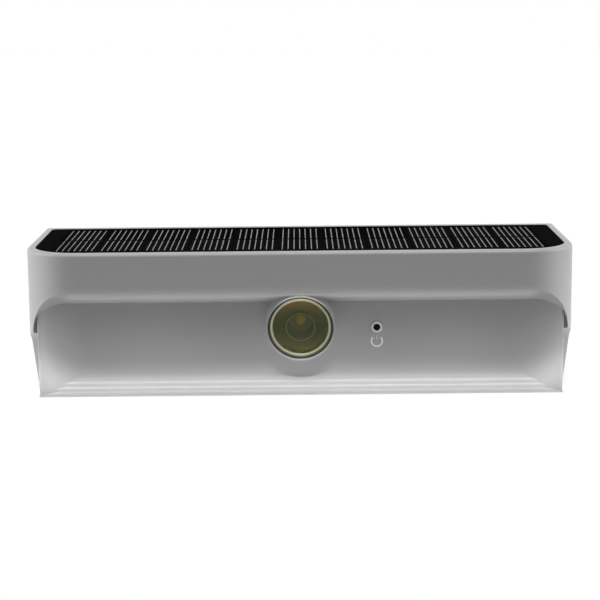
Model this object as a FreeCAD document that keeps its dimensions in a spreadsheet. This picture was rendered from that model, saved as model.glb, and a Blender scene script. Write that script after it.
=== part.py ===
"""Solar fence light: a D-shaped moulded housing with a sunk solar panel, a coved lower face with
a spot lens and a push button, and a screwed rear cover with two keyhole wells.

Millimetres. +Z up, front towards -Y, the rear cover's outer face on y = 0. The origin is the
centre of that mounting face, at half the housing's height.
"""
import FreeCAD, Part
import math
import os

import Sketcher
from FreeCAD import Rotation, Vector

doc = FreeCAD.newDocument("fence_light")
sheet = doc.addObject("Spreadsheet::Sheet", "sizes")


# ---------------------------------------------------------------- sizes
class Size:
    """A length with its number and the sheet expression that it comes from."""

    def __init__(self, value, text):
        self.value = value
        self.text = text

    def __add__(self, other):
        other = as_size(other)
        return Size(self.value + other.value, f"({self.text} + {other.text})")

    def __sub__(self, other):
        other = as_size(other)
        return Size(self.value - other.value, f"({self.text} - {other.text})")

    def __mul__(self, other):
        other = as_size(other)
        return Size(self.value * other.value, f"({self.text} * {other.text})")

    def __truediv__(self, other):
        other = as_size(other)
        return Size(self.value / other.value, f"({self.text} / {other.text})")

    def __radd__(self, other):
        return as_size(other) + self

    def __rsub__(self, other):
        return as_size(other) - self

    def __rmul__(self, other):
        return as_size(other) * self

    def __neg__(self):
        return Size(-self.value, f"(0 - {self.text})")


def as_size(number):
    if isinstance(number, Size):
        return number
    return Size(float(number), f"({float(number):.6f})")


def root(size):
    return Size(math.sqrt(size.value), f"sqrt({size.text})")


def sine(angle):
    return Size(math.sin(math.radians(angle.value)), f"sin({angle.text})")


def cosine(angle):
    return Size(math.cos(math.radians(angle.value)), f"cos({angle.text})")


def slope_angle(rise, run):
    """The angle in degrees of a face that moves by rise over run."""
    return Size(math.degrees(math.atan2(rise.value, run.value)),
                f"(atan({rise.text} / {run.text}) / 1 deg)")


sheet_row = 0


def size(alias, value):
    """Write one driving dimension into the sheet and return it."""
    global sheet_row
    sheet_row += 1
    sheet.set(f"A{sheet_row}", alias.replace("_", " "))
    sheet.set(f"B{sheet_row}", str(value))
    sheet.setAlias(f"B{sheet_row}", alias)
    return Size(float(value), f"sizes.{alias}")


# Housing envelope
width = size("width", 200.0)
depth = size("depth", 69.0)
height = size("height", 54.2)
corner_radius = size("corner_radius", 20.0)
back_corner_radius = size("back_corner_radius", 1.5)
top_edge_radius = size("top_edge_radius", 1.2)
wall = size("wall", 2.4)

# Lower face under the hood
hood_height = size("hood_height", 14.4)
bevel_drop = size("bevel_drop", 6.4)
recess_depth = size("recess_depth", 16.2)
arch_radius = size("arch_radius", 17.0)
side_inset = size("side_inset", 4.0)
front_setback = size("front_setback", 8.3)
cove_width = size("cove_width", 16.0)
arch_overlap = size("arch_overlap", 0.5)
edge_radius = size("edge_radius", 0.6)

# Swept edge of the hood's cheeks, seen from the side
cheek_start = size("cheek_start", 29.7)
cheek_bend_back = size("cheek_bend_back", 21.5)
cheek_bend_drop = size("cheek_bend_drop", 33.8)
cheek_foot_back = size("cheek_foot_back", 35.0)
cheek_bend_radius = size("cheek_bend_radius", 10.0)

# Stepped flare along the foot
flare_height = size("flare_height", 7.2)
flare_cove_foot = size("flare_cove_foot", 4.05)
flare_cove_run = size("flare_cove_run", 0.6)
lip_height = size("lip_height", 0.43)
lip_run = size("lip_run", 0.5)
ledge_run = size("ledge_run", 4.7)
ledge_rise = size("ledge_rise", 0.22)
riser_height = size("riser_height", 1.2)
riser_lean = size("riser_lean", 0.1)
tread_run = size("tread_run", 1.1)
tread_rise = size("tread_rise", 0.35)

# Solar panel, sunk in the top
panel_side_rim = size("panel_side_rim", 3.0)
panel_back_rim = size("panel_back_rim", 4.0)
panel_gap = size("panel_gap", 0.12)
panel_tape = size("panel_tape", 0.5)
panel_tape_width = size("panel_tape_width", 5.0)
panel_board_thickness = size("panel_board_thickness", 1.6)
cell_thickness = size("cell_thickness", 0.2)
panel_sheet_thickness = size("panel_sheet_thickness", 0.3)
panel_sink = size("panel_sink", 0.1)
tray_wall = size("tray_wall", 2.0)
cell_count = 11
cell_rows = 2
cell_side_margin = size("cell_side_margin", 7.0)
cell_front_margin = size("cell_front_margin", 5.2)
cell_back_margin = size("cell_back_margin", 2.4)
cell_gap = size("cell_gap", 0.8)
cell_row_gap = size("cell_row_gap", 1.2)
lead_hole_radius = size("lead_hole_radius", 2.5)
lead_hole_offset = size("lead_hole_offset", 20.0)

# Spot light; the lens, its ring and its seal are tilted down
lens_tilt = size("lens_tilt", 10.0)
lens_drop = size("lens_drop", 29.35)
lens_front = size("lens_front", 8.3)
lens_radius = size("lens_radius", 11.5)
lens_edge = size("lens_edge", 2.2)
lens_eye_radius = size("lens_eye_radius", 5.3)
lens_eye_bulge = size("lens_eye_bulge", 0.9)
lens_ring_depth = size("lens_ring_depth", 1.3)
lens_ring_inner = size("lens_ring_inner", 10.3)
lens_ring_crest = size("lens_ring_crest", 11.1)
lens_ring_land = size("lens_ring_land", 0.35)
seal_width = size("seal_width", 0.4)
seal_sink = size("seal_sink", 0.3)
bore_clearance = size("bore_clearance", 0.05)
spigot_wall = size("spigot_wall", 0.65)
reflector_bore_radius = size("reflector_bore_radius", 10.1)
reflector_depth = size("reflector_depth", 7.4)
reflector_wall = size("reflector_wall", 0.8)
reflector_hole_radius = size("reflector_hole_radius", 3.6)
lamp_boss_wall = size("lamp_boss_wall", 4.1)
led_board_thickness = size("led_board_thickness", 1.6)
led_base_gap = size("led_base_gap", 0.2)
led_base_thickness = size("led_base_thickness", 0.9)
led_dome_radius = size("led_dome_radius", 1.7)
led_dome_top_radius = size("led_dome_top_radius", 1.1)
led_dome_height = size("led_dome_height", 0.5)

# Push button and its switch
button_offset = size("button_offset", 28.1)
button_drop = size("button_drop", 30.7)
button_radius = size("button_radius", 1.2)
button_travel = size("button_travel", 0.5)
button_proud = size("button_proud", 0.15)
button_clearance = size("button_clearance", 0.08)
bezel_radius = size("bezel_radius", 2.0)
bezel_neck_radius = size("bezel_neck_radius", 1.7)
bezel_flange = size("bezel_flange", 0.4)
button_flange_radius = size("button_flange_radius", 2.2)
button_flange_thickness = size("button_flange_thickness", 0.7)
button_seal_radius = size("button_seal_radius", 2.8)
button_seal_thickness = size("button_seal_thickness", 0.5)
plunger_radius = size("plunger_radius", 0.9)
plunger_length = size("plunger_length", 1.9)
switch_size = size("switch_size", 6.0)
switch_thickness = size("switch_thickness", 3.4)
switch_gap = size("switch_gap", 0.8)
switch_board_width = size("switch_board_width", 22.0)
switch_board_height = size("switch_board_height", 9.0)
switch_screw_spread = size("switch_screw_spread", 16.0)
board_thickness = size("board_thickness", 1.2)
post_radius = size("post_radius", 2.2)

# Fasteners
small_screw_radius = size("small_screw_radius", 1.0)
small_screw_head_radius = size("small_screw_head_radius", 1.8)
small_screw_head = size("small_screw_head", 1.2)
small_screw_length = size("small_screw_length", 4.5)
slot_length_share = size("slot_length_share", 0.6)
slot_width_share = size("slot_width_share", 0.15)
cover_screw_radius = size("cover_screw_radius", 1.4)
cover_screw_head_radius = size("cover_screw_head_radius", 2.6)
cover_screw_head = size("cover_screw_head", 1.6)
cover_screw_length = size("cover_screw_length", 10.0)
screw_clearance = size("screw_clearance", 0.05)

# Control board
control_board_length = size("control_board_length", 42.0)
control_board_width = size("control_board_width", 28.0)
control_board_side_gap = size("control_board_side_gap", 15.6)
control_board_front = size("control_board_front", 26.0)
control_post_height = size("control_post_height", 5.0)
control_post_inset = size("control_post_inset", 3.2)
chip_from_left = size("chip_from_left", 13.0)
chip_from_near = size("chip_from_near", 16.0)
chip_length = size("chip_length", 8.0)
chip_width = size("chip_width", 6.0)
chip_height = size("chip_height", 1.6)
coil_from_left = size("coil_from_left", 28.0)
coil_from_near = size("coil_from_near", 16.0)
coil_radius = size("coil_radius", 4.0)
coil_flange = size("coil_flange", 0.75)
coil_height = size("coil_height", 4.5)
socket_count = 4
socket_pitch = size("socket_pitch", 8.4)
socket_from_near = size("socket_from_near", 4.5)
connector_length = size("connector_length", 6.0)
connector_depth = size("connector_depth", 5.0)
connector_height = size("connector_height", 5.5)

# Battery, an 18650 cell in a moulded holder
cell_can_radius = size("cell_can_radius", 9.2)
cell_can_length = size("cell_can_length", 65.0)
cell_cap_radius = size("cell_cap_radius", 3.2)
cell_cap_height = size("cell_cap_height", 0.8)
holder_wall = size("holder_wall", 1.8)
holder_clearance = size("holder_clearance", 0.3)
holder_contact = size("holder_contact", 1.2)
holder_front = size("holder_front", 28.0)
holder_side_gap = size("holder_side_gap", 7.8)
holder_wall_height = size("holder_wall_height", 12.0)

# Rear cover
cover_thickness = size("cover_thickness", 2.5)
cover_gap = size("cover_gap", 0.2)
cover_ledge = size("cover_ledge", 1.2)
cover_seal_thickness = size("cover_seal_thickness", 0.8)
cover_post_radius = size("cover_post_radius", 3.6)
cover_post_inset = size("cover_post_inset", 3.2)
cover_pad_radius = size("cover_pad_radius", 3.0)
keyhole_spacing = size("keyhole_spacing", 120.0)
keyhole_entry_radius = size("keyhole_entry_radius", 4.5)
keyhole_slot_radius = size("keyhole_slot_radius", 2.2)
keyhole_travel = size("keyhole_travel", 9.0)
keyhole_height = size("keyhole_height", 2.0)
keyhole_well_depth = size("keyhole_well_depth", 4.6)
keyhole_well_wall = size("keyhole_well_wall", 1.6)

# Wires
wire_radius = size("wire_radius", 0.7)
wire_overrun = size("wire_overrun", 0.1)
wire_clearance = size("wire_clearance", 0.1)
wire_pair_pitch = size("wire_pair_pitch", 1.8)
panel_wire_level = size("panel_wire_level", 7.0)
led_wire_gap = size("led_wire_gap", 0.5)
led_wire_back = size("led_wire_back", 2.4)
switch_wire_rise = size("switch_wire_rise", 2.9)
switch_wire_back = size("switch_wire_back", 3.2)
battery_wire_rise = size("battery_wire_rise", 2.0)

# Places worked out from the sizes
half_width = width / 2
top = height / 2
foot = -height / 2
front = -depth
recess_face = front + recess_depth
foot_front = front + front_setback
lower_half_width = half_width - side_inset
cavity_front = recess_face + wall
cavity_half_width = lower_half_width - wall
cover_back = as_size(0.0)
cover_front = -cover_thickness
ledge_plane = cover_front - cover_seal_thickness
panel_pocket_depth = (panel_sink + panel_sheet_thickness + cell_thickness
                      + panel_board_thickness + panel_tape)
panel_floor = top - panel_pocket_depth
panel_board_plane = panel_floor + panel_tape
cell_plane = panel_board_plane + panel_board_thickness
cavity_top = panel_floor - tray_wall
cavity_foot = foot + wall
lens_z = top - lens_drop
button_z = top - button_drop
lens_face = front + lens_front
tilt_sine = sine(lens_tilt)
tilt_cosine = cosine(lens_tilt)
lens_back = lens_ring_depth + lens_edge
lens_bore_radius = lens_radius + bore_clearance + seal_width + bore_clearance
spigot_radius = lens_bore_radius + spigot_wall
spigot_back = (cavity_front - lens_face) / tilt_cosine
lamp_z = lens_z + lens_back * tilt_sine
reflector_radius = reflector_bore_radius - bore_clearance
reflector_throat = lens_face + lens_back * tilt_cosine + reflector_radius * tilt_sine
led_plane = reflector_throat + reflector_depth
led_base_front = led_plane - led_base_thickness
lamp_boss_radius = reflector_bore_radius + lamp_boss_wall
lamp_screw_circle = reflector_bore_radius + lamp_boss_wall / 2
lamp_screws = [-lamp_screw_circle, lamp_screw_circle]
lamp_pilot_depth = small_screw_length - led_board_thickness + bore_clearance
small_pilot_radius = small_screw_radius + screw_clearance
cell_pitch = (width - 2 * panel_side_rim - 2 * cell_side_margin) / cell_count
cell_width = cell_pitch - cell_gap
cell_length = (depth - panel_side_rim - panel_back_rim - 2 * panel_gap - cell_row_gap
               - cell_front_margin - cell_back_margin) / 2
cell_middle = (front + panel_side_rim + panel_gap + cell_front_margin + cell_length
               + cell_row_gap / 2)
lead_hole_x = -lead_hole_offset
lead_hole_y = -depth / 2
bezel_front = recess_face - bezel_flange
button_face = bezel_front - button_proud
button_seal_back = cavity_front + button_seal_thickness
button_flange_front = button_seal_back + bore_clearance
button_back = button_flange_front + button_flange_thickness
switch_front = button_back + switch_gap
switch_board_plane = switch_front + switch_thickness
switch_screws = [button_offset - switch_screw_spread / 2, button_offset + switch_screw_spread / 2]
control_board_plane = cavity_foot + control_post_height
board_top = control_board_plane + board_thickness
control_board_near = front + control_board_front
control_board_right = cavity_half_width - control_board_side_gap
control_board_left = control_board_right - control_board_length
control_board_far = control_board_near + control_board_width
control_screws = [(x, y) for x in (control_board_left + control_post_inset,
                                   control_board_right - control_post_inset)
                  for y in (control_board_near + control_post_inset,
                            control_board_far - control_post_inset)]
cover_screw_x = cavity_half_width - cover_post_inset
cover_screws = [(x, z) for x in (-cover_screw_x, cover_screw_x)
                for z in (cavity_foot + cover_post_inset, cavity_top - cover_post_inset)]
keyholes = [-keyhole_spacing / 2, keyhole_spacing / 2]


# ---------------------------------------------------------------- helpers
def bind(thing, prop, length):
    thing.setExpression(prop, as_size(length).text)


def place(thing, x, y, z):
    for axis, length in zip("xyz", (x, y, z)):
        bind(thing, f"Placement.Base.{axis}", length)


def box(name, x, y, z):
    """A Part::Box between pairs of places along X, Y and Z."""
    block = doc.addObject("Part::Box", name)
    bind(block, "Length", x[1] - x[0])
    bind(block, "Width", y[1] - y[0])
    bind(block, "Height", z[1] - z[0])
    place(block, x[0], y[0], z[0])
    return block


TURN = {"x": Rotation(Vector(0, 1, 0), 90), "y": Rotation(Vector(1, 0, 0), -90), "z": Rotation()}


def rod(name, axis, radius, start, length):
    """A cylinder that runs from start towards + along an axis."""
    cylinder = doc.addObject("Part::Cylinder", name)
    cylinder.Placement = FreeCAD.Placement(Vector(), TURN[axis])
    bind(cylinder, "Radius", radius)
    bind(cylinder, "Height", length)
    place(cylinder, *start)
    return cylinder


def taper_rod(name, axis, radius_near, radius_far, start, length):
    cone = doc.addObject("Part::Cone", name)
    cone.Placement = FreeCAD.Placement(Vector(), TURN[axis])
    bind(cone, "Radius1", radius_near)
    bind(cone, "Radius2", radius_far)
    bind(cone, "Height", length)
    place(cone, *start)
    return cone


def fuse(name, *pieces):
    if len(pieces) == 1:
        return pieces[0]
    joined = doc.addObject("Part::MultiFuse", name)
    joined.Shapes = list(pieces)
    return joined


def cut(name, base, *tools):
    result = doc.addObject("Part::Cut", name)
    result.Base = base
    result.Tool = fuse(f"{name}_tool", *tools)
    return result


def group(name, pieces):
    """Separate solids that share one node."""
    compound = doc.addObject("Part::Compound", name)
    compound.Links = list(pieces)
    return compound


def new_body(name):
    return doc.addObject("PartDesign::Body", name)


def sketch_on(body, name, plane, offset=None):
    """A sketch on one of the body's origin planes, moved along the plane's normal."""
    sketch = body.newObject("Sketcher::SketchObject", name)
    for feature in body.Origin.OriginFeatures:
        if feature.Role == plane:
            sketch.AttachmentSupport = [(feature, "")]
    sketch.MapMode = "FlatFace"
    if offset is not None:
        bind(sketch, "AttachmentOffset.Base.z", offset)
    doc.recompute()
    return sketch


def lamp_sketch(body, name, behind):
    """A sketch across the tilted lens axis, at a distance behind the lens ring's front."""
    sketch = sketch_on(body, name, "XZ_Plane")
    sketch.AttachmentOffset = FreeCAD.Placement(
        Vector(), Rotation(Vector(1, 0, 0), lens_tilt.value))
    bind(sketch, "AttachmentOffset.Rotation.Angle", lens_tilt)
    bind(sketch, "AttachmentOffset.Base.y", lens_z + behind * tilt_sine)
    bind(sketch, "AttachmentOffset.Base.z", -(lens_face + behind * tilt_cosine))
    doc.recompute()
    return sketch


def tilt_to_lens(piece):
    """Move a piece, made about the Y axis with the lens ring's front at y = 0, to its place."""
    piece.Placement = FreeCAD.Placement(Vector(), Rotation(Vector(1, 0, 0), lens_tilt.value))
    bind(piece, "Placement.Rotation.Angle", lens_tilt)
    bind(piece, "Placement.Base.y", lens_face)
    bind(piece, "Placement.Base.z", lens_z)
    return piece


def pin_point(sketch, index, end, point):
    """Hold one point of a sketch at a place worked out from the sheet."""
    for kind, length in (("DistanceX", point[0]), ("DistanceY", point[1])):
        length = as_size(length)
        number = sketch.addConstraint(
            Sketcher.Constraint(kind, -1, 1, index, end, length.value))
        sketch.setExpression(f"Constraints[{number}]", length.text)


def outline(sketch, *steps):
    """Draw a closed outline. A step is a corner (u, v), or an arc to (u, v) about a centre:
    (u, v, centre_u, centre_v, "left" or "right"), the side to which it turns."""
    corners = [(as_size(step[0]), as_size(step[1])) for step in steps]
    for index, step in enumerate(steps):
        start = corners[index - 1]
        end = corners[index]
        start_point = Vector(start[0].value, start[1].value, 0)
        end_point = Vector(end[0].value, end[1].value, 0)
        if len(step) == 2:
            sketch.addGeometry(Part.LineSegment(start_point, end_point))
            continue
        centre = Vector(as_size(step[2]).value, as_size(step[3]).value, 0)
        radius = (start_point - centre).Length
        first = math.atan2(start_point.y - centre.y, start_point.x - centre.x)
        last = math.atan2(end_point.y - centre.y, end_point.x - centre.x)
        circle = Part.Circle(centre, Vector(0, 0, 1), radius)
        if step[4] == "left":
            sketch.addGeometry(Part.ArcOfCircle(circle, first, last))
        else:
            sketch.addGeometry(Part.ArcOfCircle(circle, last, first))
    for index, step in enumerate(steps):
        following = (index + 1) % len(steps)
        own_end = 1 if len(step) == 5 and step[4] == "right" else 2
        next_step = steps[following]
        next_start = 2 if len(next_step) == 5 and next_step[4] == "right" else 1
        sketch.addConstraint(
            Sketcher.Constraint("Coincident", index, own_end, following, next_start))
        pin_point(sketch, index, own_end, corners[index])
        if len(step) == 5:
            number = sketch.addConstraint(Sketcher.Constraint(
                "Radius", index, sketch.Geometry[index].Radius))
            run_u = corners[index][0] - step[2]
            run_v = corners[index][1] - step[3]
            sketch.setExpression(f"Constraints[{number}]",
                                 root(run_u * run_u + run_v * run_v).text)


def rectangle(sketch, half_span, low, high):
    """A rectangle centred on the sketch's first axis."""
    outline(sketch, (half_span, high), (half_span, low), (-half_span, low), (-half_span, high))


def circles(sketch, *rings):
    """Circles given as (u, v, radius)."""
    for index, (u, v, radius) in enumerate(rings):
        centre = Vector(as_size(u).value, as_size(v).value, 0)
        sketch.addGeometry(Part.Circle(centre, Vector(0, 0, 1), radius.value))
        pin_point(sketch, index, 3, (u, v))
        number = sketch.addConstraint(Sketcher.Constraint("Radius", index, radius.value))
        sketch.setExpression(f"Constraints[{number}]", radius.text)


def feature(body, kind, name, sketch, length, reverse=False, midplane=False, taper=None):
    """A Pad or Pocket of a sketch."""
    made = body.newObject(f"PartDesign::{kind}", name)
    made.Profile = sketch
    made.Type = "Length"
    made.Reversed = reverse
    made.Midplane = midplane
    bind(made, "Length", length)
    if taper is not None:
        bind(made, "TaperAngle", taper)
    sketch.Visibility = False
    doc.recompute()
    return made


def spin(body, name, sketch, line="V_Axis"):
    """A full revolution of a sketch about one of its own axes."""
    made = body.newObject("PartDesign::Revolution", name)
    made.Profile = sketch
    made.ReferenceAxis = (sketch, [line])
    made.Angle = 360
    doc.recompute()
    return made


def mirror(body, name, originals):
    made = body.newObject("PartDesign::Mirrored", name)
    made.Originals = originals
    for plane in body.Origin.OriginFeatures:
        if plane.Role == "YZ_Plane":
            made.MirrorPlane = (plane, [""])
    body.Tip = made
    doc.recompute()
    return made


def edges_where(solid, test):
    """Names of the edges for which the test holds."""
    return [f"Edge{number}" for number, edge in enumerate(solid.Shape.Edges, 1) if test(edge)]


def spans(edge, axis, low, high, tolerance=0.02):
    """Whether the edge's box runs from low to high along an axis."""
    bounds = edge.BoundBox
    found_low = getattr(bounds, f"{axis}Min")
    found_high = getattr(bounds, f"{axis}Max")
    return abs(found_low - low) < tolerance and abs(found_high - high) < tolerance


def round_edges(body, name, base, names, radius):
    made = body.newObject("PartDesign::Fillet", name)
    made.Base = (base, names)
    bind(made, "Radius", radius)
    doc.recompute()
    return made


def d_outline(sketch, inset_side, inset_front, inset_back):
    """The housing's D-shaped plan, moved inwards by the insets."""
    side = half_width - inset_side
    near = front + inset_front
    far = -inset_back
    curve = corner_radius - inset_side
    back = back_corner_radius
    outline(sketch,
            (side - back, far),
            (side, far - back, side - back, far - back, "right"),
            (side, near + curve),
            (side - curve, near, side - curve, near + curve, "right"),
            (curve - side, near),
            (-side, near + curve, curve - side, near + curve, "right"),
            (-side, far - back),
            (back - side, far, back - side, far - back, "right"))


# ---------------------------------------------------------------- housing
def make_housing():
    body = new_body("housing_shell")

    # D-shaped block
    plan = sketch_on(body, "block_plan", "XY_Plane", foot)
    d_outline(plan, as_size(0), as_size(0), as_size(0))
    feature(body, "Pad", "block", plan, height)

    # Arched recess with bevelled walls, so that its top wall is the hood's sloping underside
    arch = sketch_on(body, "recess_arch", "XZ_Plane", -front)
    arch_half = lower_half_width + bevel_drop - arch_overlap
    arch_top = top - hood_height
    arch_foot = foot - bevel_drop - wall
    outline(arch,
            (arch_half - arch_radius, arch_top),
            (arch_half, arch_top - arch_radius,
             arch_half - arch_radius, arch_top - arch_radius, "right"),
            (arch_half, arch_foot),
            (-arch_half, arch_foot),
            (-arch_half, arch_top - arch_radius),
            (arch_radius - arch_half, arch_top,
             arch_radius - arch_half, arch_top - arch_radius, "right"))
    feature(body, "Pocket", "recess", arch, recess_depth,
            taper=-slope_angle(bevel_drop, recess_depth))

    # Sides cut back in front of the cheeks' swept edge
    side = sketch_on(body, "cheek_side", "YZ_Plane", lower_half_width)
    cheek = cheek_edge()
    below = foot - wall
    outline(side,
            (front - wall, cheek["start"]),
            (cheek["arc_start"][0], cheek["arc_start"][1]),
            (cheek["arc_end"][0], cheek["arc_end"][1],
             cheek["centre"][0], cheek["centre"][1], "right"),
            (cheek["below"], below),
            (front - wall, below))
    trim = feature(body, "Pocket", "cheek_trim", side, side_inset + wall, reverse=True)
    both = mirror(body, "cheek_trims", [trim])

    # Coved ends of the lower face
    cove = sketch_on(body, "cove_plan", "XY_Plane", foot)
    cove_travel = recess_depth - front_setback
    cove_radius = (cove_width * cove_width + cove_travel * cove_travel) / (2 * cove_travel)
    cove_start = lower_half_width - cove_width
    behind = recess_face + wall / 2
    outline(cove,
            (lower_half_width, foot_front, cove_start, recess_face - cove_radius, "right"),
            (lower_half_width, behind),
            (cove_start - wall, behind),
            (cove_start - wall, recess_face),
            (cove_start, recess_face))
    cove_height = height - hood_height - bevel_drop / 2
    end = feature(body, "Pad", "cove_end", cove, cove_height)
    scoop = mirror(body, "cove_ends", [end])
    corners = edges_where(scoop, is_lower_corner)
    round_edges(body, "lower_corners", scoop, corners, edge_radius)

    # Stepped flare along the foot
    flare = sketch_on(body, "flare_profile", "YZ_Plane")
    lip = (foot_front + lip_run, foot + lip_height)
    ledge = (lip[0] + ledge_run, lip[1] + ledge_rise)
    lower_nose = (ledge[0] + riser_lean, ledge[1] + riser_height)
    lower_tread = (lower_nose[0] + tread_run, lower_nose[1] + tread_rise)
    upper_nose = (lower_tread[0] + riser_lean, lower_tread[1] + riser_height)
    cove_foot = (recess_face - flare_cove_run, foot + flare_cove_foot)
    cove_head = (recess_face, foot + flare_height)
    rise = cove_head[1] - cove_foot[1]
    flare_radius = (flare_cove_run * flare_cove_run + rise * rise) / (2 * flare_cove_run)
    outline(flare,
            (foot_front, foot),
            lip,
            ledge,
            lower_nose,
            lower_tread,
            upper_nose,
            cove_foot,
            (cove_head[0], cove_head[1],
             recess_face - flare_radius, cove_head[1], "left"),
            (behind, cove_head[1]),
            (behind, foot))
    outer = feature(body, "Pad", "flare", flare, 2 * lower_half_width, midplane=True)

    # Soft top edge
    rim = edges_where(outer, lambda edge: spans(edge, "Z", top.value, top.value))
    round_edges(body, "top_edge", outer, rim, top_edge_radius)

    # Tray for the solar panel, with a hole for its leads
    tray = sketch_on(body, "tray_plan", "XY_Plane", top)
    d_outline(tray, panel_side_rim, panel_side_rim, panel_back_rim)
    feature(body, "Pocket", "tray", tray, panel_pocket_depth)
    leads = sketch_on(body, "lead_hole_plan", "XY_Plane", top)
    circles(leads, (lead_hole_x, lead_hole_y, lead_hole_radius))
    feature(body, "Pocket", "lead_hole", leads, panel_pocket_depth + tray_wall + wall)

    # Cavity, open at the back, and its shallow front part inside the hood
    opening = sketch_on(body, "cavity_outline", "XZ_Plane")
    rectangle(opening, cavity_half_width, cavity_foot, cavity_top)
    feature(body, "Pocket", "cavity", opening, -cavity_front, reverse=True)
    hood = sketch_on(body, "hood_profile", "YZ_Plane")
    underside_slope = bevel_drop / recess_depth
    hood_floor = top - hood_height + wall * root(1 + underside_slope * underside_slope)
    hood_near = front + wall
    outline(hood,
            (cavity_front + wall, cavity_top),
            (hood_near, cavity_top),
            (hood_near, hood_floor - underside_slope * wall),
            (cavity_front, hood_floor - underside_slope * (cavity_front - front)),
            (cavity_front + wall, hood_floor - underside_slope * (cavity_front - front)))
    feature(body, "Pocket", "hood_cavity", hood, 2 * (half_width - corner_radius - wall),
            midplane=True)
    seat = sketch_on(body, "cover_seat_outline", "XZ_Plane")
    rectangle(seat, cavity_half_width + cover_ledge, cavity_foot - cover_ledge,
              cavity_top + cover_ledge)
    feature(body, "Pocket", "cover_seat", seat, -ledge_plane, reverse=True)

    # Lamp boss: a tilted spigot for the lens and a thicker upright boss for the board
    spigot = lamp_sketch(body, "spigot_circle", spigot_back)
    circles(spigot, (as_size(0), as_size(0), spigot_radius))
    feature(body, "Pad", "spigot", spigot, spigot_back)
    boss = sketch_on(body, "lamp_boss_circle", "XZ_Plane", -led_plane)
    circles(boss, (as_size(0), lamp_z, lamp_boss_radius))
    feature(body, "Pad", "lamp_boss", boss, led_plane - recess_face)

    # Posts for the switch board, the control board and the rear cover
    posts = sketch_on(body, "switch_post_circles", "XZ_Plane", -switch_board_plane)
    circles(posts, *[(x, button_z, post_radius) for x in switch_screws])
    feature(body, "Pad", "switch_posts", posts, switch_board_plane - cavity_front + wall / 2)
    stands = sketch_on(body, "control_post_circles", "XY_Plane", cavity_foot - wall / 2)
    circles(stands, *[(x, y, post_radius) for x, y in control_screws])
    feature(body, "Pad", "control_posts", stands, control_post_height + wall / 2)
    pillars = sketch_on(body, "cover_post_circles", "XZ_Plane", -ledge_plane)
    circles(pillars, *[(x, z, cover_post_radius) for x, z in cover_screws])
    feature(body, "Pad", "cover_posts", pillars, ledge_plane - cavity_front + wall / 2)

    # Bores for the lens, the reflector, the button and the screws
    lens_bore = lamp_sketch(body, "lens_bore_circle", as_size(0))
    circles(lens_bore, (as_size(0), as_size(0), lens_bore_radius))
    feature(body, "Pocket", "lens_bore", lens_bore, lens_back)
    reflector_bore = sketch_on(body, "reflector_bore_circle", "XZ_Plane", -lens_face)
    circles(reflector_bore, (as_size(0), lamp_z, reflector_bore_radius))
    feature(body, "Pocket", "reflector_bore", reflector_bore, led_plane - lens_face + wall)
    button_hole = sketch_on(body, "button_hole_circle", "XZ_Plane", -(recess_face - wall))
    circles(button_hole, (button_offset, button_z, bezel_neck_radius + bore_clearance))
    feature(body, "Pocket", "button_hole", button_hole, 2 * wall + wall / 2)
    lamp_pilots = sketch_on(body, "lamp_pilot_circles", "XZ_Plane", -led_plane)
    circles(lamp_pilots, *[(x, lamp_z, small_pilot_radius) for x in lamp_screws])
    feature(body, "Pocket", "lamp_pilots", lamp_pilots, lamp_pilot_depth, reverse=True)
    switch_pilots = sketch_on(body, "switch_pilot_circles", "XZ_Plane", -switch_board_plane)
    circles(switch_pilots, *[(x, button_z, small_pilot_radius) for x in switch_screws])
    feature(body, "Pocket", "switch_pilots", switch_pilots, small_screw_length, reverse=True)
    control_pilots = sketch_on(body, "control_pilot_circles", "XY_Plane", control_board_plane)
    circles(control_pilots, *[(x, y, small_pilot_radius) for x, y in control_screws])
    feature(body, "Pocket", "control_pilots", control_pilots, small_screw_length)
    cover_pilots = sketch_on(body, "cover_pilot_circles", "XZ_Plane", -cover_front)
    circles(cover_pilots, *[(x, z, cover_screw_radius + screw_clearance)
                            for x, z in cover_screws])
    feature(body, "Pocket", "cover_pilots", cover_pilots, cover_screw_length, reverse=True)
    return body


def is_lower_corner(edge):
    """The upright front corners of the lower face, where the cove meets the side."""
    bounds = edge.BoundBox
    beside = abs(abs(bounds.XMin) - lower_half_width.value) < 0.02
    upright = bounds.XLength < 0.01 and bounds.YLength < 0.01 and bounds.ZLength > 10
    in_front = abs(bounds.YMin - foot_front.value) < 0.02
    return beside and upright and in_front


def cheek_edge():
    """The hood's cheek edge, seen from the side: a shallow run, a bend and a steep run."""
    start = (front + front_setback, top - cheek_start)
    bend = (front + cheek_bend_back, top - cheek_bend_drop)
    end = (front + cheek_foot_back, foot)
    run_in = (bend[0] - start[0], bend[1] - start[1])
    run_out = (end[0] - bend[0], end[1] - bend[1])
    length_in = root(run_in[0] * run_in[0] + run_in[1] * run_in[1])
    length_out = root(run_out[0] * run_out[0] + run_out[1] * run_out[1])
    unit_in = (run_in[0] / length_in, run_in[1] / length_in)
    unit_out = (run_out[0] / length_out, run_out[1] / length_out)
    cosine = unit_in[0] * unit_out[0] + unit_in[1] * unit_out[1]
    # tangent length = radius * tan(turn / 2)
    tangent = cheek_bend_radius * root((1 - cosine) / (1 + cosine))
    arc_start = (bend[0] - unit_in[0] * tangent, bend[1] - unit_in[1] * tangent)
    arc_end = (bend[0] + unit_out[0] * tangent, bend[1] + unit_out[1] * tangent)
    # the centre lies square to the first run, on its lower side
    centre = (arc_start[0] + unit_in[1] * cheek_bend_radius,
              arc_start[1] - unit_in[0] * cheek_bend_radius)
    slope_in = run_in[1] / run_in[0]
    slope_out = run_out[1] / run_out[0]
    return {"start": start[1] - slope_in * (front_setback + wall),
            "arc_start": arc_start,
            "arc_end": arc_end,
            "centre": centre,
            "below": end[0] - wall / slope_out}


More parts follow.
